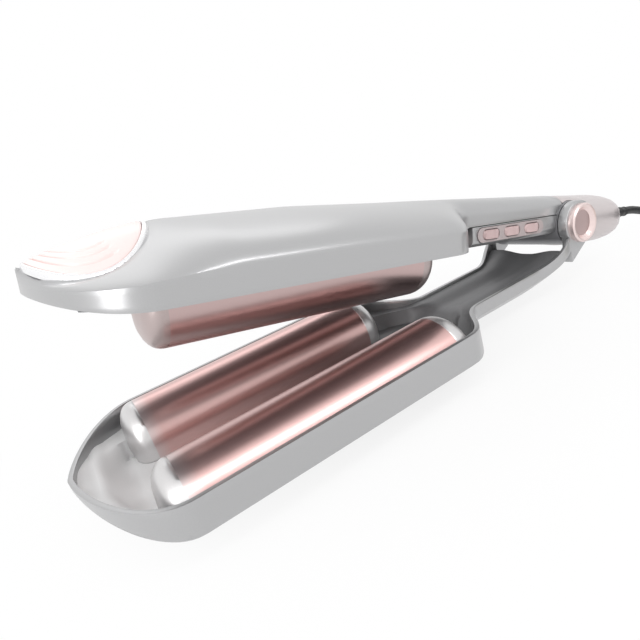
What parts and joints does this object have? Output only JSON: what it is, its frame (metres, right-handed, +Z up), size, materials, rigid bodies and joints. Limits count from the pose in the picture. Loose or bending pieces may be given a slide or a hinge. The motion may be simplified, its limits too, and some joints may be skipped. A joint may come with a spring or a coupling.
{
  "type": "hair waver",
  "caption": "Hair styling tool whose two hinged arms press a strand between one upper and two lower heated barrels, with push buttons on the handle and a mains cord",
  "frame": {"origin": "middle of the underside of the tool without its cord, on the surface that it lies on", "axes": "+X along the arms from the tips to the cord, +Y across the arms away from the buttons, +Z up"},
  "size_m": [0.3269, 0.1155, 0.0728],
  "materials": {
    "satin_silver": "satin silver paint on plastic",
    "cap_silver": "smooth silver paint on plastic",
    "pad_pink": "pale pink, soft gloss",
    "bright_rim": "bright silver",
    "rose_metal": "rose coating, satin",
    "grey_inner": "grey satin",
    "heater_block": "plain",
    "pin_steel": "plain",
    "board": "green board",
    "button_pink": "pink, soft gloss",
    "blade_metal": "plain",
    "tie_black": "black strap",
    "cord_black": "black, smooth"
  },
  "bodies": {
    "upper_arm": {"upper_shell": "satin_silver", "upper_cover": "grey_inner", "upper_barrel": "rose_metal", "upper_front_cap": "cap_silver", "upper_rear_cap": "cap_silver", "upper_heater": "heater_block", "thumb_pad": "pad_pink", "thumb_pad_rim": "bright_rim", "grip_cover": "grey_inner", "button_strip": "button_pink", "control_board": "board", "hinge_sleeve": "grey_inner", "rear_housing": "satin_silver", "strain_relief": "cord_black", "cord_run": "cord_black", "cord_coil": "cord_black", "cord_end": "cord_black", "cord_tie": "tie_black", "plug_body": "cord_black", "plug_blade_left": "blade_metal", "plug_blade_right": "blade_metal"},
    "lower_arm": {"lower_shell": "satin_silver", "lower_cover": "grey_inner", "lower_barrel_left": "rose_metal", "lower_barrel_right": "rose_metal", "lower_front_cap_left": "cap_silver", "lower_front_cap_right": "cap_silver", "lower_rear_cap_left": "cap_silver", "lower_rear_cap_right": "cap_silver", "lower_heater_left": "heater_block", "lower_heater_right": "heater_block", "hinge_ear_left": "satin_silver", "hinge_ear_right": "satin_silver", "hinge_pin": "pin_steel", "hinge_ring_left": "bright_rim", "hinge_ring_right": "bright_rim", "hinge_disc_left": "rose_metal", "hinge_disc_right": "rose_metal"},
    "button_plus": {"button_plus": "button_pink"},
    "button_minus": {"button_minus": "button_pink"},
    "button_power": {"button_power": "button_pink"}
  },
  "joints": [
    {"name": "arm_hinge", "type": "hinge", "parent": "upper_arm", "child": "lower_arm", "pos_m": [0.07391, 0, 0.0254], "axis": [0, 1, 0], "range_deg": [0, 12], "stiffness_Nm_per_rad": 0.5, "springref_deg": -40.11},
    {"name": "press_plus", "type": "slide", "parent": "upper_arm", "child": "button_plus", "axis": [0, 1, 0], "range_m": [0, 0.0007], "stiffness_N_per_m": 800, "springref_m": -0.0004},
    {"name": "press_minus", "type": "slide", "parent": "upper_arm", "child": "button_minus", "axis": [0, 1, 0], "range_m": [0, 0.0007], "stiffness_N_per_m": 800, "springref_m": -0.0004},
    {"name": "press_power", "type": "slide", "parent": "upper_arm", "child": "button_power", "axis": [0, 1, 0], "range_m": [0, 0.0007], "stiffness_N_per_m": 800, "springref_m": -0.0004}
  ]
}
